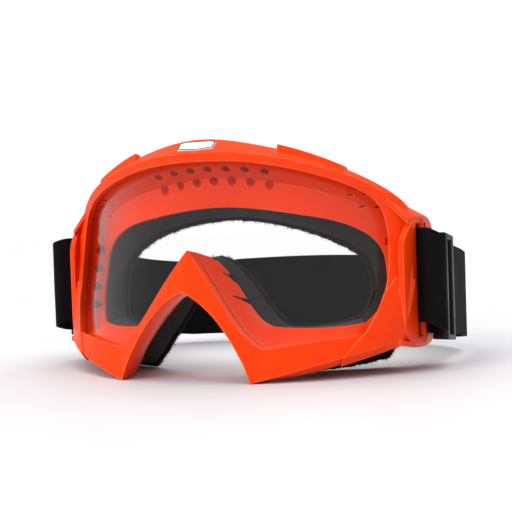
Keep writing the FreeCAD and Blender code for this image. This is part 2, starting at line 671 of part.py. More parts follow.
def make_strap_end():
    """Sewn end: the webbing folded round the centre bar and stitched to itself."""
    outer_face, outer_back, inner_face, inner_back = end_levels()
    past = SLIDER_LENGTH / 2 + SLIDER_CORE / 2 + END_GAP
    knee = SLIDER_LENGTH / 2 - SLIDER_CORE / 2 - END_GAP
    start = END_START
    outline = [(start, outer_face), (past + END_THICKNESS, outer_face),
               (past + END_THICKNESS, inner_back), (knee, inner_back),
               (start, outer_back - .1 - END_THICKNESS),
               (start, outer_back - .1), (knee, inner_face), (past, inner_face),
               (past, outer_back), (start, outer_back)]
    return sloped([strap_point(s, n) for s, n in outline], -WEB_WIDTH, 0)


def make_end_stitching():
    """Thread stitches in a row along the sewn end, on its inner face."""
    inner_back = end_levels()[3]
    length, width, height = STITCH
    stitches = []
    pitch = (WEB_WIDTH - 4) / STITCH_COUNT
    for i in range(STITCH_COUNT):
        s = SLIDER_LENGTH / 2 - length / 2
        corners = [strap_point(s + a, inner_back - .02 - b)
                   for a, b in ((0, 0), (length, 0), (length, height), (0, height))]
        low = -WEB_WIDTH + 2 + i * pitch
        stitches.append(sloped(corners, low, low + width))
    return Part.makeCompound(stitches)


PARTS = {
    "frame": make_frame,
    "lens": make_lens,
    "badge_plate": make_badge,
    "face_foam": make_foam,
    "face_fleece": make_fleece,
    "top_vent_filter": make_top_filter,
    "strap_rear": make_strap_rear,
}
SIDED = {
    "corner_filter": make_corner_filter,
    "side_filter": make_side_filter,
    "strap_turn": make_strap_turn,
    "slider": make_slider,
    "strap_end": make_strap_end,
    "end_stitching": make_end_stitching,
}

SIDES = ("right", "left")


def solids_of(shape):
    """The shape's own solids, without wrappers round them."""
    return shape.Solids[0] if len(shape.Solids) == 1 else Part.makeCompound(shape.Solids)


def main():
    shapes = {name: make() for name, make in PARTS.items()}
    for name, make in SIDED.items():
        for side, shape in zip(SIDES, both_sides(make())):
            shapes[name + "_" + side] = shape
    # the origin is under the middle of the whole, on the surface it stands on
    boxes = [shape.optimalBoundingBox(True, False) for shape in shapes.values()]
    middle = (min(b.YMin for b in boxes) + max(b.YMax for b in boxes)) / 2
    floor = min(b.ZMin for b in boxes)
    print("origin from the front of the upright frame:", round(middle, 3), round(floor, 3))
    for name, shape in shapes.items():
        placed = solids_of(shape).copy()
        placed.translate(V(0, -middle, -floor))
        placed.exportStep("parts/" + name + ".step")
        print(name, len(placed.Solids), round(placed.Volume, 1), placed.isValid())


main()
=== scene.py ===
"""Motorcycle goggles: finishes, foam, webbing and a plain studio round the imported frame."""
import json
import logging
import math
import random
from dataclasses import dataclass
from enum import Enum

import bmesh
import bpy
from mathutils import Matrix, Vector, noise


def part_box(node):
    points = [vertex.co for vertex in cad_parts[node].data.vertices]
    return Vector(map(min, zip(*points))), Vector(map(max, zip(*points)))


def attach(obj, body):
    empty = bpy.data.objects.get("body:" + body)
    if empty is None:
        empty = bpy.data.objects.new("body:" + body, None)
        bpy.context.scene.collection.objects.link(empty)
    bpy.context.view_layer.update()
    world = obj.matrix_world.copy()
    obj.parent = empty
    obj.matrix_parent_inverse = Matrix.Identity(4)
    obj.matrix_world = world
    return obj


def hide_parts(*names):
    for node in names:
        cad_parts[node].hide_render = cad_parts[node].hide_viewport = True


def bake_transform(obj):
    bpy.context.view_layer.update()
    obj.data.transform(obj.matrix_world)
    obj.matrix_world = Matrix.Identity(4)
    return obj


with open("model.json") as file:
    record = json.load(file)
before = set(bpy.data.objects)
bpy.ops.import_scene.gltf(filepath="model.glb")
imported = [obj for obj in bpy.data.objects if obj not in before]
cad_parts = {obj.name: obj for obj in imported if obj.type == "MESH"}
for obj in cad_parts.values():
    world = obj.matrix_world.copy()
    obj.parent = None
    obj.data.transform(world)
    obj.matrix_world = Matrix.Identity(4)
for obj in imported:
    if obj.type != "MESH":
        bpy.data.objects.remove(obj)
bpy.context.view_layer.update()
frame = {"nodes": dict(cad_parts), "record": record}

LOG = logging.getLogger("goggles")
MM = 0.001
FRONT = (0.0, -82.842, -0.02)    # mm, foot of the upright front in the frame's coordinates
SIDES = ("right", "left")
WELD = 0.004 * MM                # vertices closer than this are one
FLAT = 0.02                      # radians under which neighbouring CAD faces are one face
NO_CREASE = 180.0                # degrees, for pieces that are smooth all over
Point = tuple[float, float, float]
Pair = tuple[float, float]


# ---- small mesh helpers -----------------------------------------------------
def new_object(name: str, bm: bmesh.types.BMesh) -> bpy.types.Object:
    """Put a bmesh into a new object at the origin.

    Args:
        name: Name of the piece.
        bm: The finished bmesh, which is freed.

    Returns:
        The linked object.
    """
    mesh = bpy.data.meshes.new(name)
    bm.to_mesh(mesh)
    bm.free()
    piece = bpy.data.objects.new(name, mesh)
    bpy.context.scene.collection.objects.link(piece)
    return piece


def merged_copy(node: str) -> bmesh.types.BMesh:
    """A welded bmesh of one CAD node.

    Args:
        node: Name of the CAD node.

    Returns:
        A bmesh with doubled vertices merged.
    """
    bm = bmesh.new()
    bm.from_mesh(frame["nodes"][node].data)
    bmesh.ops.remove_doubles(bm, verts=bm.verts, dist=WELD)
    return bm


def flat_copy(node: str) -> bmesh.types.BMesh:
    """A welded bmesh of one CAD node, whose flat faces are whole again.

    Args:
        node: Name of the CAD node.

    Returns:
        A bmesh with flat neighbours joined.
    """
    bm = merged_copy(node)
    bmesh.ops.dissolve_limit(bm, angle_limit=FLAT, verts=bm.verts, edges=bm.edges)
    return bm


def bevel_sharp(bm: bmesh.types.BMesh, above: float, offset: float, segments: int,
                clamp: bool = False) -> None:
    """Round every edge that is sharper than an angle.

    Args:
        bm: The mesh to bevel.
        above: Angle in radians past which an edge is rounded.
        offset: Width of the bevel in metres.
        segments: Faces across the bevel.
        clamp: Whether bevels that would meet are made narrower.
    """
    sharp = [edge for edge in bm.edges if edge.calc_face_angle(0.0) > above]
    bmesh.ops.bevel(bm, geom=sharp, offset=offset, segments=segments, profile=0.5,
                    affect="EDGES", material=-1, clamp_overlap=clamp)


def shade(bm: bmesh.types.BMesh, crease: float) -> None:
    """Smooth all faces and mark edges sharper than a crease angle.

    Args:
        bm: The mesh to mark.
        crease: Angle in degrees past which an edge stays sharp.
    """
    limit = math.radians(crease)
    for face in bm.faces:
        face.smooth = True
    for edge in bm.edges:
        edge.smooth = not (edge.is_manifold and edge.calc_face_angle(0.0) > limit)


def apply_modifiers(piece: bpy.types.Object) -> None:
    """Replace a piece's mesh by its mesh with modifiers applied.

    Args:
        piece: The piece, which keeps no modifier.
    """
    bpy.context.view_layer.update()
    graph = bpy.context.evaluated_depsgraph_get()
    mesh = bpy.data.meshes.new_from_object(piece.evaluated_get(graph))
    piece.modifiers.clear()
    piece.data = mesh


def cover(piece: bpy.types.Object, material: bpy.types.Material, slot: str) -> None:
    """Give a piece its material, and report it with its record slot.

    Args:
        piece: The finished piece.
        material: The material that covers it.
        slot: Material slot of the record.
    """
    piece.data.materials.clear()
    piece.data.materials.append(material)
    LOG.info("%s: %d faces in %s", piece.name, len(piece.data.polygons), slot)


def dress(piece: bpy.types.Object, material: bpy.types.Material, slot: str, body: str) -> None:
    """Cover a piece and let it ride on one body.

    Args:
        piece: The finished piece.
        material: The material that covers it.
        slot: Material slot of the record.
        body: Name of the CAD body.
    """
    cover(piece, material, slot)
    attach(piece, body)


def smoothstep(low: float, high: float, value: float) -> float:
    """Smooth ramp from 0 at low to 1 at high."""
    share = min(max((value - low) / (high - low), 0.0), 1.0)
    return share * share * (3 - 2 * share)


# ---- shader node groups and finishes ------------------------------------------
class Socket(Enum):
    """Kinds of socket that the shader groups have."""

    VALUE = "NodeSocketFloat"
    COLOUR = "NodeSocketColor"
    VECTOR = "NodeSocketVector"


class Graph:
    """A node tree with short calls to add and join nodes."""

    def __init__(self, tree: bpy.types.NodeTree) -> None:
        """Keep the tree that nodes go into."""
        self.tree = tree

    def add(self, kind: str, inputs: dict | None = None, **settings: object) -> bpy.types.Node:
        """Add a node.

        Args:
            kind: Node type, without its ShaderNode prefix.
            inputs: Values or output sockets by input name or index.
            **settings: Attributes of the node.

        Returns:
            The node.
        """
        node = self.tree.nodes.new("ShaderNode" + kind)
        for key, value in settings.items():
            setattr(node, key, value)
        for key, value in (inputs or {}).items():
            if isinstance(value, bpy.types.NodeSocket):
                self.tree.links.new(value, node.inputs[key])
            else:
                node.inputs[key].default_value = value
        return node

    def math(self, operation: str, first: object, second: object = 0.5) -> bpy.types.NodeSocket:
        """Result of a Math node."""
        return self.add("Math", {0: first, 1: second}, operation=operation).outputs[0]

    def noise(self, vector: bpy.types.NodeSocket, scale: object, detail: float = 3.0,
              rough: float = 0.5) -> bpy.types.NodeSocket:
        """Noise value from 0 to 1."""
        inputs = {"Vector": vector, "Scale": scale, "Detail": detail, "Roughness": rough}
        return self.add("TexNoise", inputs).outputs[0]

    def span(self, value: object, low: object, high: object, to_low: object = 0.0,
             to_high: object = 1.0) -> bpy.types.NodeSocket:
        """Value mapped from one range to another, clamped."""
        inputs = {0: value, 1: low, 2: high, 3: to_low, 4: to_high}
        return self.add("MapRange", inputs, clamp=True).outputs[0]

    def blend(self, share: object, first: object, second: object) -> bpy.types.NodeSocket:
        """Mix of two colours.

        Args:
            share: Share of the second colour, as a number or a socket.
            first: Colour or socket at a share of 0.
            second: Colour or socket at a share of 1.

        Returns:
            The socket of the mixed colour.
        """
        node = self.add("Mix", data_type="RGBA")
        for index, value in ((0, share), (6, first), (7, second)):
            if isinstance(value, bpy.types.NodeSocket):
                self.tree.links.new(value, node.inputs[index])
            else:
                node.inputs[index].default_value = value
        return node.outputs[2]


def shader_group(
        name: str, inputs: dict[str, tuple[Socket, object]], outputs: dict[str, Socket],
) -> tuple[bpy.types.NodeTree, Graph, dict, bpy.types.Node]:
    """Start a node group with named sockets.

    Args:
        name: Name of the group.
        inputs: Kind and default value by input name.
        outputs: Kind by output name.

    Returns:
        The tree, its graph, its input sockets by name and the output node.
    """
    tree = bpy.data.node_groups.new(name, "ShaderNodeTree")
    for label, (kind, value) in inputs.items():
        socket = tree.interface.new_socket(label, in_out="INPUT", socket_type=kind.value)
        if kind is not Socket.VECTOR:
            socket.default_value = value
    for label, kind in outputs.items():
        tree.interface.new_socket(label, in_out="OUTPUT", socket_type=kind.value)
    source = tree.nodes.new("NodeGroupInput")
    sink = tree.nodes.new("NodeGroupOutput")
    return tree, Graph(tree), {label: source.outputs[label] for label in inputs}, sink


def grain_group() -> bpy.types.NodeTree:
    """Fine moulded or fibrous grain: a height and a mask of soft blotches.

    Returns:
        The node group.
    """
    tree, graph, pins, sink = shader_group(
        "grain",
        {"Vector": (Socket.VECTOR, None), "Scale": (Socket.VALUE, 900.0),
         "Blotch Scale": (Socket.VALUE, 40.0)},
        {"Height": Socket.VALUE, "Blotch": Socket.VALUE})
    fine = graph.noise(pins["Vector"], pins["Scale"], 4.0, 0.6)
    broad = graph.noise(pins["Vector"], pins["Blotch Scale"], 2.0)
    tree.links.new(fine, sink.inputs["Height"])
    tree.links.new(graph.span(broad, 0.35, 0.65), sink.inputs["Blotch"])
    return tree


def edge_light_and_wear_group() -> bpy.types.NodeTree:
    """Edge mask from the angle between the true and the rounded normal, broken by noise; the
    frame paints a highlight with it, the sliders and badge a worn edge.

    Returns:
        The node group.
    """
    tree, graph, pins, sink = shader_group(
        "edge_highlight_and_wear",
        {"Vector": (Socket.VECTOR, None), "Width": (Socket.VALUE, 0.0006)},
        {"Normal": Socket.VECTOR, "Edge": Socket.VALUE})
    rounded = graph.add("Bevel", {"Radius": pins["Width"]}, samples=6).outputs[0]
    true = graph.add("NewGeometry").outputs["Normal"]
    dot = graph.add("VectorMath", {0: rounded, 1: true}, operation="DOT_PRODUCT").outputs["Value"]
    edge = graph.span(dot, 0.999, 0.93)
    patchy = graph.span(graph.noise(pins["Vector"], 160.0), 0.3, 0.6, 0.35)
    broken = graph.math("MULTIPLY", edge, patchy)
    tree.links.new(rounded, sink.inputs["Normal"])
    tree.links.new(broken, sink.inputs["Edge"])
    return tree


def scuff_group() -> bpy.types.NodeTree:
    """Thin random hairlines and dust specks that lift the roughness.

    Returns:
        The node group.
    """
    tree, graph, pins, sink = shader_group(
        "scuffs",
        {"Vector": (Socket.VECTOR, None), "Scale": (Socket.VALUE, 60.0)},
        {"Mask": Socket.VALUE})
    warped = graph.add("Mapping", {"Vector": pins["Vector"], "Scale": (1.0, 0.12, 0.9),
                                   "Rotation": (0.4, 0.9, 0.3)}).outputs[0]
    lines = graph.add("TexVoronoi", {"Vector": warped, "Scale": pins["Scale"]},
                      feature="DISTANCE_TO_EDGE").outputs["Distance"]
    thin = graph.span(lines, 0.0, 0.02, 1.0, 0.0)
    patch = graph.span(graph.noise(pins["Vector"], 22.0), 0.5, 0.7)
    tree.links.new(graph.math("MULTIPLY", thin, patch), sink.inputs["Mask"])
    return tree


def weave_group() -> bpy.types.NodeTree:
    """Ribbed elastic weave on a UV in millimetres: height, yarn mask and a mask of the grooves
    for painted shade.

    Returns:
        The node group.
    """
    tree, graph, pins, sink = shader_group(
        "ribbed_weave",
        {"UV": (Socket.VECTOR, None), "Rib Pitch": (Socket.VALUE, 0.65),
         "Pick Pitch": (Socket.VALUE, 0.9)},
        {"Height": Socket.VALUE, "Groove Shade": Socket.VALUE, "Fuzz": Socket.VALUE})
    parts = graph.add("SeparateXYZ", {0: pins["UV"]})
    rib = graph.math("MULTIPLY", graph.math("DIVIDE", parts.outputs[1], pins["Rib Pitch"]),
                     2 * math.pi)
    pick = graph.math("MULTIPLY", graph.math("DIVIDE", parts.outputs[0], pins["Pick Pitch"]),
                      2 * math.pi)
    rib_wave = graph.math("COSINE", rib)
    offset = graph.math("MULTIPLY", graph.math("SIGN", rib_wave), math.pi / 2)
    pick_wave = graph.math("COSINE", graph.math("ADD", pick, offset))
    ribs = graph.span(rib_wave, -1.0, 1.0)
    picks = graph.span(pick_wave, -1.0, 1.0)
    fuzz = graph.noise(pins["UV"], 3.5, 4.0, 0.7)
    height = graph.math("ADD", graph.math("MULTIPLY", ribs, 0.7),
                        graph.math("MULTIPLY", picks, 0.3))
    tree.links.new(graph.math("ADD", height, graph.math("MULTIPLY", fuzz, 0.25)),
                   sink.inputs["Height"])
    # painted shade: mask of the grooves between the ribs, where they are darkened
    tree.links.new(graph.span(rib_wave, -0.2, -1.0), sink.inputs["Groove Shade"])
    tree.links.new(fuzz, sink.inputs["Fuzz"])
    return tree


class Groups:
    """The node groups that the materials share, each built once."""

    def __init__(self) -> None:
        """Build every group."""
        self.grain = grain_group()
        self.edge_light_and_wear = edge_light_and_wear_group()
        self.scuffs = scuff_group()
        self.weave = weave_group()


class Finish:
    """A material under construction, with its Principled shader."""

    def __init__(self, name: str, **sockets: object) -> None:
        """Make the material and set the sockets that are the same all over.

        Args:
            name: Name of the material.
            **sockets: Values by socket name, with underscores for spaces.
        """
        self.material = bpy.data.materials.new(name)
        self.material.use_nodes = True
        self.graph = Graph(self.material.node_tree)
        self.shader = self.material.node_tree.nodes["Principled BSDF"]
        for key, value in sockets.items():
            self.shader.inputs[key.replace("_", " ")].default_value = value

    def place(self) -> bpy.types.NodeSocket:
        """Object coordinates in metres."""
        return self.graph.add("TexCoord").outputs["Object"]

    def use(self, group: bpy.types.NodeTree, **inputs: object) -> bpy.types.Node:
        """Place a shared group with this material's own values.

        Args:
            group: The shared node group.
            **inputs: Values or sockets by input name, with underscores for spaces.

        Returns:
            The group's node.
        """
        node = self.graph.tree.nodes.new("ShaderNodeGroup")
        node.node_tree = group
        for key, value in inputs.items():
            key = key.replace("_", " ")
            if isinstance(value, bpy.types.NodeSocket):
                self.graph.tree.links.new(value, node.inputs[key])
            else:
                node.inputs[key].default_value = value
        return node

    def bump(self, height: bpy.types.NodeSocket, distance: float, strength: float = 1.0,
             normal: bpy.types.NodeSocket | None = None) -> None:
        """Feed the shader's normal from a height in a Bump node.

        Args:
            height: Socket of the height.
            distance: Depth of the relief in metres.
            strength: Share of the relief that shows.
            normal: Normal that the relief is added to, or the true one.
        """
        inputs = {"Height": height, "Distance": distance, "Strength": strength}
        if normal is not None:
            inputs["Normal"] = normal
        node = self.graph.add("Bump", inputs)
        self.feed("Normal", node.outputs[0])

    def scuffed_roughness(self, grain: bpy.types.Node, scuffs: bpy.types.Node,
                          span: Pair, lift: float) -> None:
        """Feed a blotchy roughness that scuffs lift.

        Args:
            grain: Node of the grain group.
            scuffs: Node of the scuffs group.
            span: Roughness in the smoothest and the roughest blotch.
            lift: Roughness that a scuff adds.
        """
        blotchy = self.graph.span(grain.outputs["Blotch"], 0.0, 1.0, *span)
        marks = self.graph.math("MULTIPLY", scuffs.outputs["Mask"], lift)
        self.feed("Roughness", self.graph.math("ADD", blotchy, marks))

    def feed(self, socket: str, source: bpy.types.NodeSocket) -> None:
        """Join a source to one of the shader's sockets."""
        self.graph.tree.links.new(source, self.shader.inputs[socket])


@dataclass(frozen=True)
class MouldedShell:
    """Bright satin thermoplastic of the frame, with a painted highlight along its edges and
    folds.
    """

    colour: Point = (0.93, 0.048, 0.0004)
    shaded: Point = (0.82, 0.024, 0.0006)
    # painted highlight: light orange laid along the frame's edges and folds
    painted_edge_highlight: Point = (1.0, 0.2, 0.06)
    roughness: float = 0.36
    edge: float = 0.0007

    def build(self, groups: Groups) -> bpy.types.Material:
        """Build the material.

        Args:
            groups: The shared node groups.

        Returns:
            The material.
        """
        finish = Finish("frame_moulding", Specular_IOR_Level=0.22,
                        Subsurface_Weight=0.1, Subsurface_Radius=(1.0, 0.25, 0.08),
                        Subsurface_Scale=0.002)
        place = finish.place()
        grain = finish.use(groups.grain, Vector=place, Scale=2600.0, Blotch_Scale=45.0)
        edge_light_and_wear = finish.use(groups.edge_light_and_wear, Vector=place, Width=self.edge)
        scuffs = finish.use(groups.scuffs, Vector=place, Scale=55.0)
        base = finish.graph.blend(finish.graph.math("MULTIPLY", grain.outputs["Blotch"], 0.12),
                                  (*self.colour, 1), (*self.shaded, 1))
        # painted highlight: the edge mask lays the light orange along the edges and folds
        base = finish.graph.blend(finish.graph.math("MULTIPLY", edge_light_and_wear.outputs["Edge"], 0.85),
                                  base, (*self.painted_edge_highlight, 1))
        finish.feed("Base Color", base)
        finish.scuffed_roughness(grain, scuffs, (self.roughness - 0.04, self.roughness + 0.05),
                                 0.15)
        finish.bump(grain.outputs["Height"], 0.02 * MM, 0.5, edge_light_and_wear.outputs["Normal"])
        return finish.material


@dataclass(frozen=True)
class ClearLens:
    """Hard-coated clear sheet."""

    tint: Point = (0.985, 0.99, 0.99)
    lamp_tint: Point = (0.96, 0.97, 0.97)
    index: float = 1.27
    polish: float = 0.008
    hazy: float = 0.025

    def build(self, groups: Groups) -> bpy.types.Material:
        """Build the material: glass for the eye, clear for lamps.

        Args:
            groups: The shared node groups.

        Returns:
            The material.
        """
        finish = Finish("lens_clear", Base_Color=(*self.tint, 1), Transmission_Weight=1.0,
                        IOR=self.index)
        place = finish.place()
        scuffs = finish.use(groups.scuffs, Vector=place, Scale=90.0)
        finish.feed("Roughness", finish.graph.span(scuffs.outputs["Mask"], 0.0, 1.0,
                                                   self.polish, self.hazy))
        clear = finish.graph.add("BsdfTransparent", {"Color": (*self.lamp_tint, 1)})
        path = finish.graph.add("LightPath")
        mix = finish.graph.add("MixShader", {0: path.outputs["Is Shadow Ray"],
                                             1: finish.shader.outputs[0], 2: clear.outputs[0]})
        output = finish.graph.tree.nodes["Material Output"]
        finish.graph.tree.links.new(mix.outputs[0], output.inputs["Surface"])
        return finish.material


@dataclass(frozen=True)
class FoamFinish:
    """Open-cell foam with painted shade in its pores; cell is the width of a pore in metres."""

    name: str
    colour: Point
    cell: float
    depth: float

    def build(self, groups: Groups) -> bpy.types.Material:
        """Build the material.

        Args:
            groups: The shared node groups.

        Returns:
            The material.
        """
        finish = Finish(self.name, Sheen_Weight=0.05, Sheen_Roughness=0.6,
                        Specular_IOR_Level=0.2)
        place = finish.place()
        grain = finish.use(groups.grain, Vector=place, Scale=1 / self.cell, Blotch_Scale=60.0)
        pores = finish.graph.add("TexVoronoi", {"Vector": place, "Scale": 1 / self.cell},
                                 feature="SMOOTH_F1").outputs["Distance"]
        # painted shade: the pore hollows are darker than the cell walls round them
        dark = tuple(channel * 0.35 for channel in self.colour)
        mask = finish.graph.span(pores, 0.15, 0.75)
        finish.feed("Base Color", finish.graph.blend(mask, (*dark, 1), (*self.colour, 1)))
        finish.feed("Roughness", finish.graph.span(grain.outputs["Blotch"], 0.0, 1.0, 0.82, 0.96))
        height = finish.graph.math("ADD", pores,
                                   finish.graph.math("MULTIPLY", grain.outputs["Height"], 0.4))
        finish.bump(height, self.depth, 0.9)
        return finish.material


@dataclass(frozen=True)
class FleeceFinish:
    """Short brushed pile."""

    name: str = "fleece_black"
    colour: Point = (0.007, 0.007, 0.0075)

    def build(self, groups: Groups) -> bpy.types.Material:
        """Build the material.

        Args:
            groups: The shared node groups.

        Returns:
            The material.
        """
        finish = Finish(self.name, Sheen_Weight=0.08, Sheen_Roughness=0.45,
                        Specular_IOR_Level=0.2)
        place = finish.place()
        grain = finish.use(groups.grain, Vector=place, Scale=1500.0, Blotch_Scale=120.0)
        tuft = finish.graph.noise(place, 700.0, 5.0, 0.7)
        pale = tuple(channel * 2.4 for channel in self.colour)
        finish.feed("Base Color", finish.graph.blend(finish.graph.span(tuft, 0.35, 0.7),
                                                     (*self.colour, 1), (*pale, 1)))
        finish.feed("Roughness", finish.graph.span(grain.outputs["Blotch"], 0.0, 1.0, 0.85, 1.0))
        height = finish.graph.math("ADD", tuft, grain.outputs["Height"])
        finish.bump(height, 0.25 * MM, 0.9)
        return finish.material


@dataclass(frozen=True)
class WebbingFinish:
    """Ribbed black elastic; the UV runs in millimetres, along and across."""

    colour: Point = (0.0022, 0.0022, 0.0025)
    lit: Point = (0.0075, 0.0075, 0.008)
    # painted shade: darker colour of the grooves between the ribs
    groove: Point = (0.0015, 0.0015, 0.0015)

    def build(self, groups: Groups) -> bpy.types.Material:
        """Build the material.

        Args:
            groups: The shared node groups.

        Returns:
            The material.
        """
        finish = Finish("webbing_black", Sheen_Weight=0.02, Sheen_Roughness=0.4,
                        Specular_IOR_Level=0.12)
        uv = finish.graph.add("UVMap", uv_map="UVMap").outputs[0]
        weave = finish.use(groups.weave, UV=uv, Rib_Pitch=0.68, Pick_Pitch=1.05)
        base = finish.graph.blend(weave.outputs["Fuzz"], (*self.lit, 1), (*self.colour, 1))
        # painted shade: the grooves between the ribs are darkened
        finish.feed("Base Color", finish.graph.blend(weave.outputs["Groove Shade"], base,
                                                     (*self.groove, 1)))
        finish.feed("Roughness", finish.graph.span(weave.outputs["Fuzz"], 0.3, 0.7, 0.7, 0.95))
        finish.bump(weave.outputs["Height"], 0.07 * MM, 0.6)
        return finish.material


@dataclass(frozen=True)
class SatinPlastic:
    """Hard moulded plastic of the sliders and the badge."""

    name: str
    colour: Point
    roughness: float
    edge: float = 0.0004
    worn: Point = (0.1, 0.1, 0.1)

    def build(self, groups: Groups) -> bpy.types.Material:
        """Build the material.

        Args:
            groups: The shared node groups.

        Returns:
            The material.
        """
        finish = Finish(self.name, Specular_IOR_Level=0.18)
        place = finish.place()
        grain = finish.use(groups.grain, Vector=place, Scale=3000.0, Blotch_Scale=90.0)
        edge_light_and_wear = finish.use(groups.edge_light_and_wear, Vector=place, Width=self.edge)
        scuffs = finish.use(groups.scuffs, Vector=place, Scale=120.0)
        share = finish.graph.math("MULTIPLY", edge_light_and_wear.outputs["Edge"], 0.3)
        finish.feed("Base Color", finish.graph.blend(share, (*self.colour, 1), (*self.worn, 1)))
        finish.scuffed_roughness(grain, scuffs, (self.roughness - 0.05, self.roughness + 0.05),
                                 0.2)
        finish.bump(grain.outputs["Height"], 0.01 * MM, 0.4, edge_light_and_wear.outputs["Normal"])
        return finish.material


@dataclass(frozen=True)
class ThreadFinish:
    """Twisted polyester thread, with painted shade in the grooves of its twist."""

    colour: Point = (0.02, 0.02, 0.02)
    # painted shade: colour of the grooves of the twist
    dark: Point = (0.006, 0.006, 0.006)

    def build(self, groups: Groups) -> bpy.types.Material:
        """Build the material.

        Args:
            groups: The shared node groups.

        Returns:
            The material.
        """
        finish = Finish("thread_black", Sheen_Weight=0.2)
        place = finish.place()
        grain = finish.use(groups.grain, Vector=place, Scale=2500.0, Blotch_Scale=200.0)
        twist = finish.graph.add("TexWave", {"Vector": place, "Scale": 700.0, "Distortion": 1.5},
                                 bands_direction="DIAGONAL").outputs["Fac"]
        # painted shade: the grooves of the twist are darker
        finish.feed("Base Color", finish.graph.blend(twist, (*self.dark, 1),
                                                     (*self.colour, 1)))
        finish.feed("Roughness", finish.graph.span(grain.outputs["Blotch"], 0.0, 1.0, 0.5, 0.7))
        finish.bump(twist, 0.05 * MM, 0.7)
        return finish.material


class Finishes:
    """Every material of the goggles, each built once."""

    def __init__(self) -> None:
        """Build the shared groups, and the materials from them."""
        groups = Groups()
        self.shell = MouldedShell().build(groups)
        self.lens = ClearLens().build(groups)
        self.core = FoamFinish("foam_black", (0.028, 0.028, 0.029), 0.55 * MM,
                               0.12 * MM).build(groups)
        self.filter = FoamFinish("filter_foam", (0.02, 0.02, 0.021), 0.9 * MM,
                                 0.3 * MM).build(groups)
        self.fleece = FleeceFinish().build(groups)
        self.webbing = WebbingFinish().build(groups)
        self.slider = SatinPlastic("slider_plastic", (0.011, 0.011, 0.012), 0.42).build(groups)
        self.badge = SatinPlastic("badge_white", (0.9, 0.9, 0.89), 0.22,
                                  worn=(0.8, 0.8, 0.8)).build(groups)
        # painted shade: dark colour of the sheet that stands for the shaded gap round the badge
        self.gap_shade = SatinPlastic("badge_shadow_tone", (0.06, 0.02, 0.015), 0.4).build(groups)
        self.thread = ThreadFinish().build(groups)


# ---- frame, lens, badge and vents ----------------------------------------------
@dataclass
class FrameAssembly:
    """Moulded frame with its lens, its badge and the foam over its vents."""

    crease: float = 24.0
    sheet_crease: float = 40.0
    badge_edge: float = 0.15 * MM
    badge_sharp: float = 0.5
    shade_line_width: float = 0.55 * MM
    shade_line_height: float = 0.04 * MM
    filter_voxel: float = 0.7 * MM
    filter_relief: float = 0.12 * MM
    filter_frequency: float = 900.0
    wrap_radius: float = 100 * MM
    lens_setback: float = 3.3 * MM
    lens_thickness: float = 1.6 * MM
    lens_cuts: int = 3
    lens_snap: float = 0.2 * MM
    lean: float = 11.7

    def shell(self) -> bpy.types.Object:
        """The one-piece moulding, with smooth flanks and crisp folds.

        Returns:
            The moulding.
        """
        bm = merged_copy("frame")
        shade(bm, self.crease)
        piece = new_object("frame_shell", bm)
        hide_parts("frame")
        return piece

    def lens(self) -> bpy.types.Object:
        """The clear sheet in its groove, refined and set on its two true cylinders.

        Returns:
            The sheet.
        """
        bm = merged_copy("lens")
        bmesh.ops.subdivide_edges(bm, edges=bm.edges, cuts=self.lens_cuts, use_grid_fill=True)
        upright = Matrix.Rotation(math.radians(self.lean), 4, "X")
        upright_back = upright.inverted()
        front = Vector(FRONT) * MM
        outer = self.wrap_radius - self.lens_setback
        for vert in bm.verts:
            local = upright @ (vert.co - front)
            radius = math.hypot(local.x, local.y - self.wrap_radius)
            for surface in (outer, outer - self.lens_thickness):
                if abs(radius - surface) < self.lens_snap:
                    local.x *= surface / radius
                    local.y = self.wrap_radius + (local.y - self.wrap_radius) * surface / radius
            vert.co = upright_back @ local + front
        shade(bm, self.sheet_crease)
        piece = new_object("clear_lens", bm)
        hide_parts("lens")
        return piece

    def badge(self) -> bpy.types.Object:
        """The bare plate with a softened edge.

        Returns:
            The plate.
        """
        bm = flat_copy("badge_plate")
        bevel_sharp(bm, self.badge_sharp, self.badge_edge, 2)
        shade(bm, self.sheet_crease)
        piece = new_object("badge_inlay", bm)
        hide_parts("badge_plate")
        return piece

    def badge_shadow_line(self) -> bpy.types.Object:
        """Painted shade: a thin dark sheet round the face of the badge, standing for the shaded
        gap round the inlay.

        Returns:
            The painted shade line.
        """
        bm = flat_copy("badge_plate")
        normal = Vector(frame["record"]["mounts"][0]["axis"])
        face = max(bm.faces, key=lambda item: item.normal.dot(normal) * item.calc_area())
        bmesh.ops.delete(bm, geom=[item for item in bm.faces if item is not face],
                         context="FACES")
        gap_shade = bmesh.ops.inset_region(bm, faces=list(bm.faces), thickness=self.shade_line_width,
                                        use_boundary=True, use_even_offset=True)["faces"]
        bmesh.ops.delete(bm, geom=[item for item in bm.faces if item not in gap_shade],
                         context="FACES")
        bmesh.ops.translate(bm, verts=bm.verts, vec=normal * self.shade_line_height)
        bmesh.ops.solidify(bm, geom=list(bm.faces), thickness=self.shade_line_height)
        bmesh.ops.recalc_face_normals(bm, faces=bm.faces)
        return new_object("badge_shadow_line", bm)

    def vent_foam(self, node: str) -> bpy.types.Object:
        """One filter strip as soft cut foam.

        Args:
            node: The CAD node that it stands for.

        Returns:
            The strip.
        """
        piece = new_object(node.replace("filter", "filter_foam"), merged_copy(node))
        remesh(piece, self.filter_voxel)
        soften(piece, 0.0, 1, self.filter_relief, self.filter_frequency)
        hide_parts(node)
        return piece

    def build(self, finishes: Finishes) -> None:
        """Build and dress the moulding and what is fixed to it.

        Args:
            finishes: The materials.
        """
        dress(self.shell(), finishes.shell, "frame_moulding", "root")
        dress(self.lens(), finishes.lens, "lens_clear", "root")
        dress(self.badge(), finishes.badge, "badge_white", "root")
        # painted shade line round the badge
        dress(self.badge_shadow_line(), finishes.gap_shade, "badge_white", "root")
        for node in sorted(name for name in frame["nodes"] if "filter" in name):
            dress(self.vent_foam(node), finishes.filter, "filter_foam", "root")


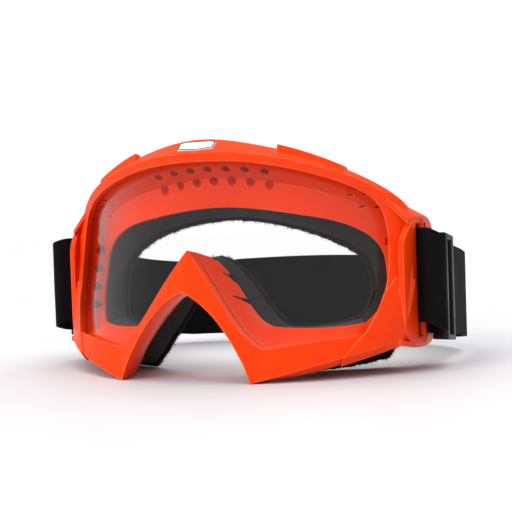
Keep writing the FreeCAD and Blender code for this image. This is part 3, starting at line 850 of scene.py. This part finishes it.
def remesh(piece: bpy.types.Object, voxel: float) -> None:
    """Voxel remesh a piece in place.

    Args:
        piece: The piece to remesh.
        voxel: Size of a voxel in metres.
    """
    modifier = piece.modifiers.new("Remesh", "REMESH")
    modifier.mode = "VOXEL"
    modifier.voxel_size = voxel
    apply_modifiers(piece)


def roughen(bm: bmesh.types.BMesh, height: float, scale: float) -> None:
    """Push vertices along their normals by smooth noise.

    Args:
        bm: The mesh to change.
        height: Largest move in metres.
        scale: Noise frequency per metre.
    """
    bm.normal_update()
    for vert in bm.verts:
        vert.co += vert.normal * height * noise.noise(vert.co * scale)


def soften(piece: bpy.types.Object, growth: float, rounds: int, height: float,
           scale: float) -> None:
    """Round the cut edges of a soft piece and give it the unevenness of foam.

    Args:
        piece: The remeshed piece.
        growth: How far it grows first, to make up for what the rounding takes.
        rounds: Times that it is smoothed.
        height: Largest move of the unevenness in metres.
        scale: Frequency of the unevenness per metre.
    """
    bm = bmesh.new()
    bm.from_mesh(piece.data)
    bm.normal_update()
    for vert in bm.verts:
        vert.co += vert.normal * growth
    for _ in range(rounds):
        bmesh.ops.smooth_vert(bm, verts=bm.verts, factor=0.5, use_axis_x=True,
                              use_axis_y=True, use_axis_z=True)
    roughen(bm, height, scale)
    shade(bm, NO_CREASE)
    bm.to_mesh(piece.data)
    bm.free()


# ---- face foam ------------------------------------------------------------------
@dataclass
class FaceSeal:
    """Foam core and brushed fleece that lie on the face."""

    foam_voxel: float = 1.0 * MM
    fleece_voxel: float = 0.7 * MM
    growth: float = 0.45 * MM
    rounds: int = 4
    core_relief: float = 0.10 * MM
    core_frequency: float = 500.0
    fleece_relief: float = 0.25 * MM
    fleece_frequency: float = 420.0
    swell_cap: float = 0.9 * MM
    start_shrink: float = 0.5 * MM
    swell_steps: int = 12
    cloth_mass: float = 0.2
    cloth_stiffness: float = 12.0
    pressure: float = 4.0
    fibre_seed: int = 7
    fibre_count: int = 42000
    fibre_length: float = 1.25 * MM
    fibre_lengths: Pair = (0.5, 1.25)
    fibre_width: float = 0.17 * MM
    fibre_taper: float = 0.7
    fibre_knee: float = 0.55
    fibre_sunk: float = 0.3 * MM
    root_spread: float = 0.4
    lean_spread: float = 0.45
    curl_spread: float = 0.3
    floor_gap: float = 0.2 * MM

    def core(self) -> bpy.types.Object:
        """The foam core, swollen a little between its cut edges.

        Returns:
            The core.
        """
        piece = new_object("foam_core", merged_copy("face_foam"))
        remesh(piece, self.foam_voxel)
        self.swell(piece)
        soften(piece, self.growth, self.rounds, self.core_relief, self.core_frequency)
        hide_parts("face_foam")
        return piece

    def fleece(self) -> bpy.types.Object:
        """The fleece liner, slightly lumpy.

        Returns:
            The liner.
        """
        piece = new_object("fleece_liner", merged_copy("face_fleece"))
        remesh(piece, self.fleece_voxel)
        soften(piece, self.growth, self.rounds, self.fleece_relief, self.fleece_frequency)
        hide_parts("face_fleece")
        return piece

    def swell(self, piece: bpy.types.Object) -> None:
        """Inflate the core as cloth and keep each point within the cap.

        Args:
            piece: The remeshed core.
        """
        home = [vert.co.copy() for vert in piece.data.vertices]
        for vert in piece.data.vertices:
            vert.co -= vert.normal * self.start_shrink
        cloth = piece.modifiers.new("Cloth", "CLOTH")
        cloth.settings.quality = 4
        cloth.settings.mass = self.cloth_mass
        cloth.settings.tension_stiffness = self.cloth_stiffness
        cloth.settings.compression_stiffness = self.cloth_stiffness
        cloth.settings.use_pressure = True
        cloth.settings.uniform_pressure_force = self.pressure
        cloth.settings.effector_weights.gravity = 0.0
        cloth.collision_settings.use_collision = False
        scene = bpy.context.scene
        for step in range(1, self.swell_steps + 1):
            scene.frame_set(step)
        apply_modifiers(piece)
        scene.frame_set(1)
        for vert, start in zip(piece.data.vertices, home):
            move = vert.co - start
            if move.length > self.swell_cap:
                move = move.normalized() * self.swell_cap
            vert.co = start + move

    def pile(self, liner: bpy.types.Object) -> bpy.types.Object:
        """Loose fibres that stand out of the fleece.

        Args:
            liner: The fleece that they grow from.

        Returns:
            One piece with every fibre.
        """
        rng = random.Random(self.fibre_seed)
        faces = liner.data.polygons
        picks = rng.choices(range(len(faces)), weights=[face.area for face in faces],
                            k=self.fibre_count)
        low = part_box("face_fleece")[0]
        bm = bmesh.new()
        for index in picks:
            face = faces[index]
            spread = self.root_spread
            root = face.center + Vector((rng.uniform(-spread, spread) for _ in range(3))) * MM
            lean = Vector((rng.gauss(0, self.lean_spread) for _ in range(3)))
            way = (face.normal + lean).normalized()
            length = self.fibre_length * rng.uniform(*self.fibre_lengths)
            if root.z + way.z * length < low.z + self.floor_gap:
                continue
            across = way.cross(Vector((rng.gauss(0, 1) for _ in range(3)))).normalized()
            across *= self.fibre_width / 2
            curl = Vector((rng.gauss(0, self.curl_spread) for _ in range(3))) * length
            base = root - way * self.fibre_sunk
            knee = root + way * length * self.fibre_knee
            tip = root + way * length + curl
            tip.z = max(tip.z, low.z)
            base.z = max(base.z, low.z)
            narrow = across * self.fibre_taper
            verts = [bm.verts.new(corner) for corner in (base - across, base + across,
                                                         knee + narrow, knee - narrow, tip)]
            bm.faces.new(verts[:4])
            bm.faces.new((verts[3], verts[2], verts[4]))
        return new_object("fleece_pile", bm)

    def build(self, finishes: Finishes) -> None:
        """Build and dress the foam, its fleece and the pile.

        Args:
            finishes: The materials.
        """
        dress(self.core(), finishes.core, "foam_black", "root")
        liner = self.fleece()
        dress(liner, finishes.fleece, "fleece_black", "root")
        dress(self.pile(liner), finishes.fleece, "fleece_black", "root")


# ---- strap ------------------------------------------------------------------------
@dataclass
class Webbing:
    """Sizes of the strap in millimetres, and the plan of its runs."""

    half_width: float = 86.0
    side: float = 8.0
    post_y: float = 65.0
    post_radius: float = 2.3
    depth: float = 163.0
    toe_in: float = 4.0
    drop: float = 0.12
    rear_lift: float = 4.2
    lead_in: float = 0.5
    lead_rise: float = 0.1
    bend_depth: float = 14.0
    crest_depth: float = 6.0
    crest_past: float = 3.0
    crest_rise: float = 4.2
    straight: float = 50.0
    bend_run: float = 22.0
    corner_in: float = 26.0
    corner_depth: float = 4.0
    rear_radii: tuple[float, ...] = (26.0, 60.0, 400.0, 60.0, 26.0)
    rear_step: float = 2.2
    top: float = 56.5
    width: float = 41.0
    thickness: float = 1.5
    end_thickness: float = 1.3
    clearance: float = 0.35
    end_gap: float = 0.15
    end_start: float = 6.1
    core_width: float = 3.2
    core_thickness: float = 1.8
    slider_length: float = 18.0
    ribs: int = 60
    rib_height: float = 0.06
    waviness: float = 0.10
    waves_along: float = 0.08
    waves_across: float = 2.0
    wave_place: float = 3.7
    crease: float = 50.0
    loop: tuple[Pair, ...] = ((0.2, -1.9), (7.4, -8.6), (1.6, -11.9))
    loop_radii: tuple[float, ...] = (3.0, 3.1, 3.2)
    loop_start: float = -0.05
    loop_rise: float = 5.2
    loop_climb: Pair = (3.0, 21.0)
    loop_descent: Pair = (28.0, 34.0)
    loop_step: float = 0.7
    loop_thinning: float = 0.96
    post_slack: float = 0.1
    knee_radius: float = 1.1
    leg_overlap: float = 0.3
    leg_fixed: float = 0.2
    leg_blend: float = 2.6
    end_radii: tuple[float, ...] = (1.2, 1.2, 1.0)
    end_step: float = 0.6
    end_thinning: float = 0.94
    tail_gap: float = 0.1

    def __post_init__(self) -> None:
        """Work out directions, and how far the frame's origin is from the drawing's."""
        turn = math.radians(self.toe_in)
        self.along = Vector((-math.sin(turn), math.cos(turn)))
        self.out = Vector((math.cos(turn), math.sin(turn)))
        self.start = Vector((self.half_width + self.side, self.post_y - 0.5))
        _, self.shift, self.raise_z = FRONT

    def point(self, along: float, out: float) -> Vector:
        """Plan point at a length along the straight stretch and out from its middle."""
        return self.start + self.along * along + self.out * out

    def top_edge(self, y: float) -> float:
        """Height of the upper webbing edge at a depth.

        Args:
            y: Distance back from the foot of the front, in millimetres.

        Returns:
            The height in millimetres.
        """
        begin, end = self.start.y, self.start.y + self.straight
        low = self.width + self.rear_lift
        rows = [(begin - self.lead_in, self.top + self.lead_rise),
                (end, self.top - self.drop * (end - begin)),
                (self.depth - self.bend_depth, low), (self.depth - self.crest_depth, low),
                (self.depth + self.crest_past, low + self.crest_rise)]
        for (y0, z0), (y1, z1) in zip(rows, rows[1:]):
            if y <= y1:
                return z0 + (z1 - z0) * (y - y0) / (y1 - y0)
        return rows[-1][1]

    def rounded(self, points: list[Vector], radii: list[float], step: float) -> list[Vector]:
        """Samples at most a step apart, along straight runs joined by arcs.

        Args:
            points: Corners of the route.
            radii: Radius at each inner corner.
            step: Largest distance between samples.

        Returns:
            The samples, first and last point included.
        """
        dense = [points[0]]
        for i, radius in enumerate(radii, start=1):
            corner = points[i]
            into = (points[i - 1] - corner).normalized()
            away = (points[i + 1] - corner).normalized()
            half = into.angle(away) / 2
            reach = radius / math.tan(half)
            centre = corner + (into + away).normalized() * (radius / math.sin(half))
            first, last = corner + into * reach - centre, corner + away * reach - centre
            sweep = first.angle_signed(last)
            count = max(int(abs(sweep) * radius / step), 6)
            for k in range(count + 1):
                dense.append(centre + Matrix.Rotation(-sweep * k / count, 2) @ first)
        dense.append(points[-1])
        samples = [dense[0]]
        for a, b in zip(dense, dense[1:]):
            pieces = max(int((b - a).length / step), 1)
            if (b - a).length > 1e-6:
                samples += [a.lerp(b, k / pieces) for k in range(1, pieces + 1)]
        return samples

    def loop_top(self, run: float) -> float:
        """Height of the upper edge along the loop, which climbs from slider to slot."""
        climb = smoothstep(*self.loop_climb, run) - smoothstep(*self.loop_descent, run)
        return self.top + self.loop_rise * climb

    def band(self, name: str, route: list[Vector], thickness: float,
             looped: bool = False) -> bpy.types.Object:
        """Ribbed webbing that stands on edge along a plan route.

        Args:
            name: Name of the piece.
            route: Samples of its middle plane, in millimetres.
            thickness: Thickness of the webbing.
            looped: Whether its height follows the length of the loop by the slot.

        Returns:
            The webbing, with a UV map in millimetres.
        """
        columns = 2 * self.ribs
        bm = bmesh.new()
        bmesh.ops.create_grid(bm, x_segments=len(route) - 1, y_segments=columns, size=1.0)
        run = [0.0]
        for a, b in zip(route, route[1:]):
            run.append(run[-1] + (b - a).length)
        near = bm.verts.layers.float.new("along")
        high = bm.verts.layers.float.new("across")
        for vert in bm.verts:
            row = round((vert.co.x + 1) / 2 * (len(route) - 1))
            column = round((vert.co.y + 1) / 2 * columns)
            before, after = route[max(row - 1, 0)], route[min(row + 1, len(route) - 1)]
            way = (after - before).normalized()
            normal = Vector((way.y, -way.x))
            share = column / columns
            lift = self.rib_height * (0.5 if column % 2 else -0.5)
            wave = Vector((run[row] * self.waves_along, share * self.waves_across,
                           self.wave_place))
            lift += self.waviness * noise.noise(wave)
            lift += thickness / 2
            flat = route[row] + normal * lift
            top = self.loop_top(run[row]) if looped else self.top_edge(route[row].y)
            z = top - self.width * (1 - share)
            vert[near], vert[high] = run[row], share * self.width
            vert.co = Vector((flat.x, flat.y + self.shift, z + self.raise_z)) * MM
        self.face_outwards(bm, route)
        bmesh.ops.solidify(bm, geom=list(bm.faces), thickness=thickness * MM)
        layer = bm.loops.layers.uv.new("UVMap")
        for face in bm.faces:
            for loop in face.loops:
                loop[layer].uv = (loop.vert[near], loop.vert[high])
        bmesh.ops.recalc_face_normals(bm, faces=bm.faces)
        shade(bm, self.crease)
        return new_object(name, bm)

    def face_outwards(self, bm: bmesh.types.BMesh, route: list[Vector]) -> None:
        """Turn the sheet's faces to the side that its middle plane was lifted to.

        Args:
            bm: The sheet, not yet solid.
            route: Samples of its middle plane, in millimetres.
        """
        way = route[1] - route[0]
        lifted = Vector((way.y, -way.x, 0.0))
        bm.faces.ensure_lookup_table()
        bm.normal_update()
        first = min(bm.faces, key=lambda face: (face.calc_center_median().xy / MM
                                                - route[0] - Vector((0, self.shift))).length)
        if first.normal.dot(lifted) < 0:
            bmesh.ops.reverse_faces(bm, faces=bm.faces)

    def mirrored(self, route: list[Vector], side: str) -> list[Vector]:
        """The same route on the named side."""
        sign = 1 if side == "right" else -1
        return [Vector((p.x * sign, p.y)) for p in route]

    def rear(self) -> bpy.types.Object:
        """The webbing round the back of the head.

        Returns:
            The webbing.
        """
        back = self.depth - self.thickness / 2
        right = [self.point(0, 0), self.point(self.straight + self.bend_run, 0),
                 Vector((self.half_width - self.corner_in, back - self.corner_depth)),
                 Vector((0, back))]
        points = right + [Vector((-p.x, p.y)) for p in right[-2::-1]]
        samples = self.rounded(points, list(self.rear_radii), self.rear_step)
        piece = self.band("webbing_rear", samples, self.thickness)
        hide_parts("strap_rear")
        return piece

    def turn(self, side: str) -> bpy.types.Object:
        """The webbing through the slot, round the post and back to the slider.

        Args:
            side: "right" or "left".

        Returns:
            The webbing, which is covered later.
        """
        front, rear = self.post_y - self.post_radius, self.post_y + self.post_radius
        half = self.thickness / 2
        slope = self.along.x / self.along.y
        start = self.point(self.loop_start, 0)
        loop = [start + Vector(offset) for offset in self.loop]
        inside = self.half_width - self.post_radius - half
        end = self.point(self.end_start - self.leg_overlap,
                         -(half + self.clearance + self.end_thickness / 2))
        knee = Vector((end.x + (rear + half - end.y) * slope, rear + half))
        route = [start, *loop, Vector((inside, front - half)), Vector((inside, rear + half)),
                 knee, end]
        round_post = self.post_radius + half - self.post_slack
        radii = [*self.loop_radii, round_post, round_post, self.knee_radius]
        samples = self.mirrored(self.rounded(route, radii, self.loop_step), side)
        piece = self.band(f"webbing_turn_{side}", samples, self.thickness * self.loop_thinning,
                          looped=True)
        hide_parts(f"strap_turn_{side}")
        return piece

    def stretch_inner_leg(self, piece: bpy.types.Object) -> None:
        """Bake the piece's placement into its mesh.

        Args:
            piece: The webbing of this side's turn.
        """
        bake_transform(piece)

    def sewn_end(self, side: str) -> bpy.types.Object:
        """The end folded round the centre bar of the slider and sewn to itself.

        Args:
            side: "right" or "left".

        Returns:
            The sewn end.
        """
        half = self.end_thickness / 2
        outer = -(self.thickness / 2 + self.clearance) - half
        inner = outer - 2 * half - 2 * self.end_gap - self.core_thickness
        past = self.slider_length / 2 + self.core_width / 2 + self.end_gap + half
        knee = self.slider_length / 2 - self.core_width / 2 - self.end_gap
        tail = outer - 2 * half - self.tail_gap
        route = [self.point(*pair) for pair in ((self.end_start, outer), (past, outer),
                                                (past, inner), (knee, inner),
                                                (self.end_start, tail))]
        samples = self.mirrored(self.rounded(route, list(self.end_radii), self.end_step), side)
        piece = self.band(f"webbing_end_{side}", samples, self.end_thickness * self.end_thinning)
        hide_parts(f"strap_end_{side}")
        return piece

    def build_rear(self, finishes: Finishes) -> None:
        """Build and dress the webbing round the back."""
        dress(self.rear(), finishes.webbing, "webbing_black", "root")

    def build_side(self, side: str, finishes: Finishes) -> None:
        """Build and dress one side's turn and sewn end.

        Args:
            side: "right" or "left".
            finishes: The materials.
        """
        turn = self.turn(side)
        cover(turn, finishes.webbing, "webbing_black")
        self.stretch_inner_leg(turn)
        dress(self.sewn_end(side), finishes.webbing, "webbing_black", f"slide_{side}")


@dataclass
class Slider:
    """Three-bar slide and the stitches of the webbing sewn round it."""

    edge: float = 0.55 * MM
    sharp: float = 0.6
    crease: float = 35.0
    toe_in: float = 4.0
    stitch_length: float = 2.6 * MM
    stitch_width: float = 0.55 * MM

    def body(self, side: str) -> bpy.types.Object:
        """The moulded slide with rounded edges.

        Args:
            side: "right" or "left".

        Returns:
            The slide.
        """
        bm = flat_copy(f"slider_{side}")
        bevel_sharp(bm, self.sharp, self.edge, 3, clamp=True)
        shade(bm, self.crease)
        piece = new_object(f"slide_{side}", bm)
        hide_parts(f"slider_{side}")
        return piece

    def stitches(self, side: str) -> bpy.types.Object:
        """One rounded stitch for each stitch of the seam.

        Args:
            side: "right" or "left".

        Returns:
            One piece with every stitch.
        """
        seam = merged_copy(f"end_stitching_{side}")
        centres = island_centres(seam)
        seam.free()
        sign = 1 if side == "right" else -1
        turn = Matrix.Rotation(math.radians(90 + self.toe_in * sign), 4, "Z")
        bm = bmesh.new()
        for centre in centres:
            made = bmesh.ops.create_uvsphere(bm, u_segments=8, v_segments=6, radius=0.5)["verts"]
            size = Matrix.Diagonal((self.stitch_length, 0.5 * self.stitch_width,
                                    self.stitch_width, 1.0))
            bmesh.ops.transform(bm, verts=made, matrix=Matrix.Translation(centre) @ turn @ size)
        shade(bm, NO_CREASE)
        piece = new_object(f"seam_{side}", bm)
        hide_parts(f"end_stitching_{side}")
        return piece

    def build(self, side: str, finishes: Finishes) -> None:
        """Build and dress one slide and its stitches.

        Args:
            side: "right" or "left".
            finishes: The materials.
        """
        dress(self.body(side), finishes.slider, "slider_plastic", f"slide_{side}")
        dress(self.stitches(side), finishes.thread, "thread_black", f"slide_{side}")


def island_centres(bm: bmesh.types.BMesh) -> list[Vector]:
    """Middle of each loose part of a mesh.

    Args:
        bm: The mesh, which stays as it is.

    Returns:
        The middles, lowest first.
    """
    seen = set()
    centres = []
    for first in bm.verts:
        if first in seen:
            continue
        seen.add(first)
        stack = [first]
        island = []
        while stack:
            vert = stack.pop()
            island.append(vert.co.copy())
            for edge in vert.link_edges:
                other = edge.other_vert(vert)
                if other not in seen:
                    seen.add(other)
                    stack.append(other)
        centres.append(sum(island, Vector()) / len(island))
    return sorted(centres, key=lambda centre: centre.z)


# ---- studio -------------------------------------------------------------------------
@dataclass
class Studio:
    """White floor and surround, two broad lamps and the camera."""

    target: Point = (0.013495, -0.031642, 0.051036)
    azimuth: float = 24.830
    elevation: float = 1.683
    roll: float = -2.0
    distance: float = 0.5
    focal: float = 77.56
    surround: float = 0.42
    white: float = 1.05

    def camera(self) -> None:
        """Place the camera on the target at its azimuth, elevation and roll."""
        turn, rise, tilt = (math.radians(v) for v in (self.azimuth, self.elevation, self.roll))
        back = Vector((math.sin(turn) * math.cos(rise), -math.cos(turn) * math.cos(rise),
                       math.sin(rise)))
        level = Vector((math.cos(turn), math.sin(turn), 0.0))
        upright = back.cross(level)
        right = math.cos(tilt) * level + math.sin(tilt) * upright
        up = -math.sin(tilt) * level + math.cos(tilt) * upright
        data = bpy.data.cameras.new("camera")
        data.lens = self.focal
        data.clip_start = 0.01
        camera = bpy.data.objects.new("camera", data)
        place = Matrix((right, up, back)).transposed().to_4x4()
        place.translation = Vector(self.target) + back * self.distance
        camera.matrix_world = place
        bpy.context.scene.collection.objects.link(camera)
        bpy.context.scene.camera = camera

    def floor(self) -> None:
        """Wide pale floor with a faint satin grain."""
        bm = bmesh.new()
        bmesh.ops.create_circle(bm, cap_ends=True, segments=64, radius=8.0)
        floor = new_object("floor", bm)
        finish = Finish("floor_white", Base_Color=(0.62, 0.61, 0.625, 1))
        shade_noise = finish.graph.noise(finish.place(), 14.0, 2.0)
        finish.feed("Roughness", finish.graph.span(shade_noise, 0.3, 0.7, 0.5, 0.6))
        floor.data.materials.append(finish.material)

    def sun(self, name: str, way: Point, strength: float, spread: float) -> None:
        """Very broad, even light from a direction; it lights the whole floor alike.

        Args:
            name: Name of the lamp.
            way: Direction towards the lamp.
            strength: Irradiance.
            spread: Angle that it fills, in degrees.
        """
        data = bpy.data.lights.new(name, "SUN")
        data.energy = strength
        data.angle = math.radians(spread)
        lamp = bpy.data.objects.new(name, data)
        lamp.rotation_euler = Vector(way).to_track_quat("Z", "Y").to_euler()
        lamp.visible_glossy = False
        lamp.visible_transmission = False
        bpy.context.scene.collection.objects.link(lamp)

    def surround_light(self) -> None:
        """White to the eye, softer as a light."""
        world = bpy.data.worlds.new("studio")
        world.use_nodes = True
        graph = Graph(world.node_tree)
        path = graph.add("LightPath")
        seen = graph.math("MAXIMUM", path.outputs["Is Camera Ray"],
                          path.outputs["Is Transmission Ray"])
        strength = graph.span(seen, 0.0, 1.0, self.surround, self.white)
        background = world.node_tree.nodes["Background"]
        background.inputs["Color"].default_value = (1, 1, 1, 1)
        world.node_tree.links.new(strength, background.inputs["Strength"])
        bpy.context.scene.world = world

    def build(self) -> None:
        """Make the camera, the floor, the lamps and the surround."""
        self.camera()
        self.floor()
        self.sun("overhead", (-0.05, 0.3, 1.0), strength=3.7, spread=85.0)
        self.sun("front_fill", (-0.5, -1.0, 0.5), strength=1.9, spread=50.0)
        self.surround_light()
        bpy.context.scene.view_settings.view_transform = "Standard"


# ---- assembly -------------------------------------------------------------------------
def build_goggles() -> None:
    """Build, dress and place every piece."""
    finishes = Finishes()
    FrameAssembly().build(finishes)
    FaceSeal().build(finishes)
    strap = Webbing()
    slider = Slider()
    strap.build_rear(finishes)
    for side in SIDES:
        strap.build_side(side, finishes)
        slider.build(side, finishes)


def main() -> None:
    """Build the goggles and the studio."""
    logging.basicConfig(level=logging.INFO, format="%(name)s: %(message)s")
    Studio().build()
    build_goggles()


if __name__ == "__main__":
    main()
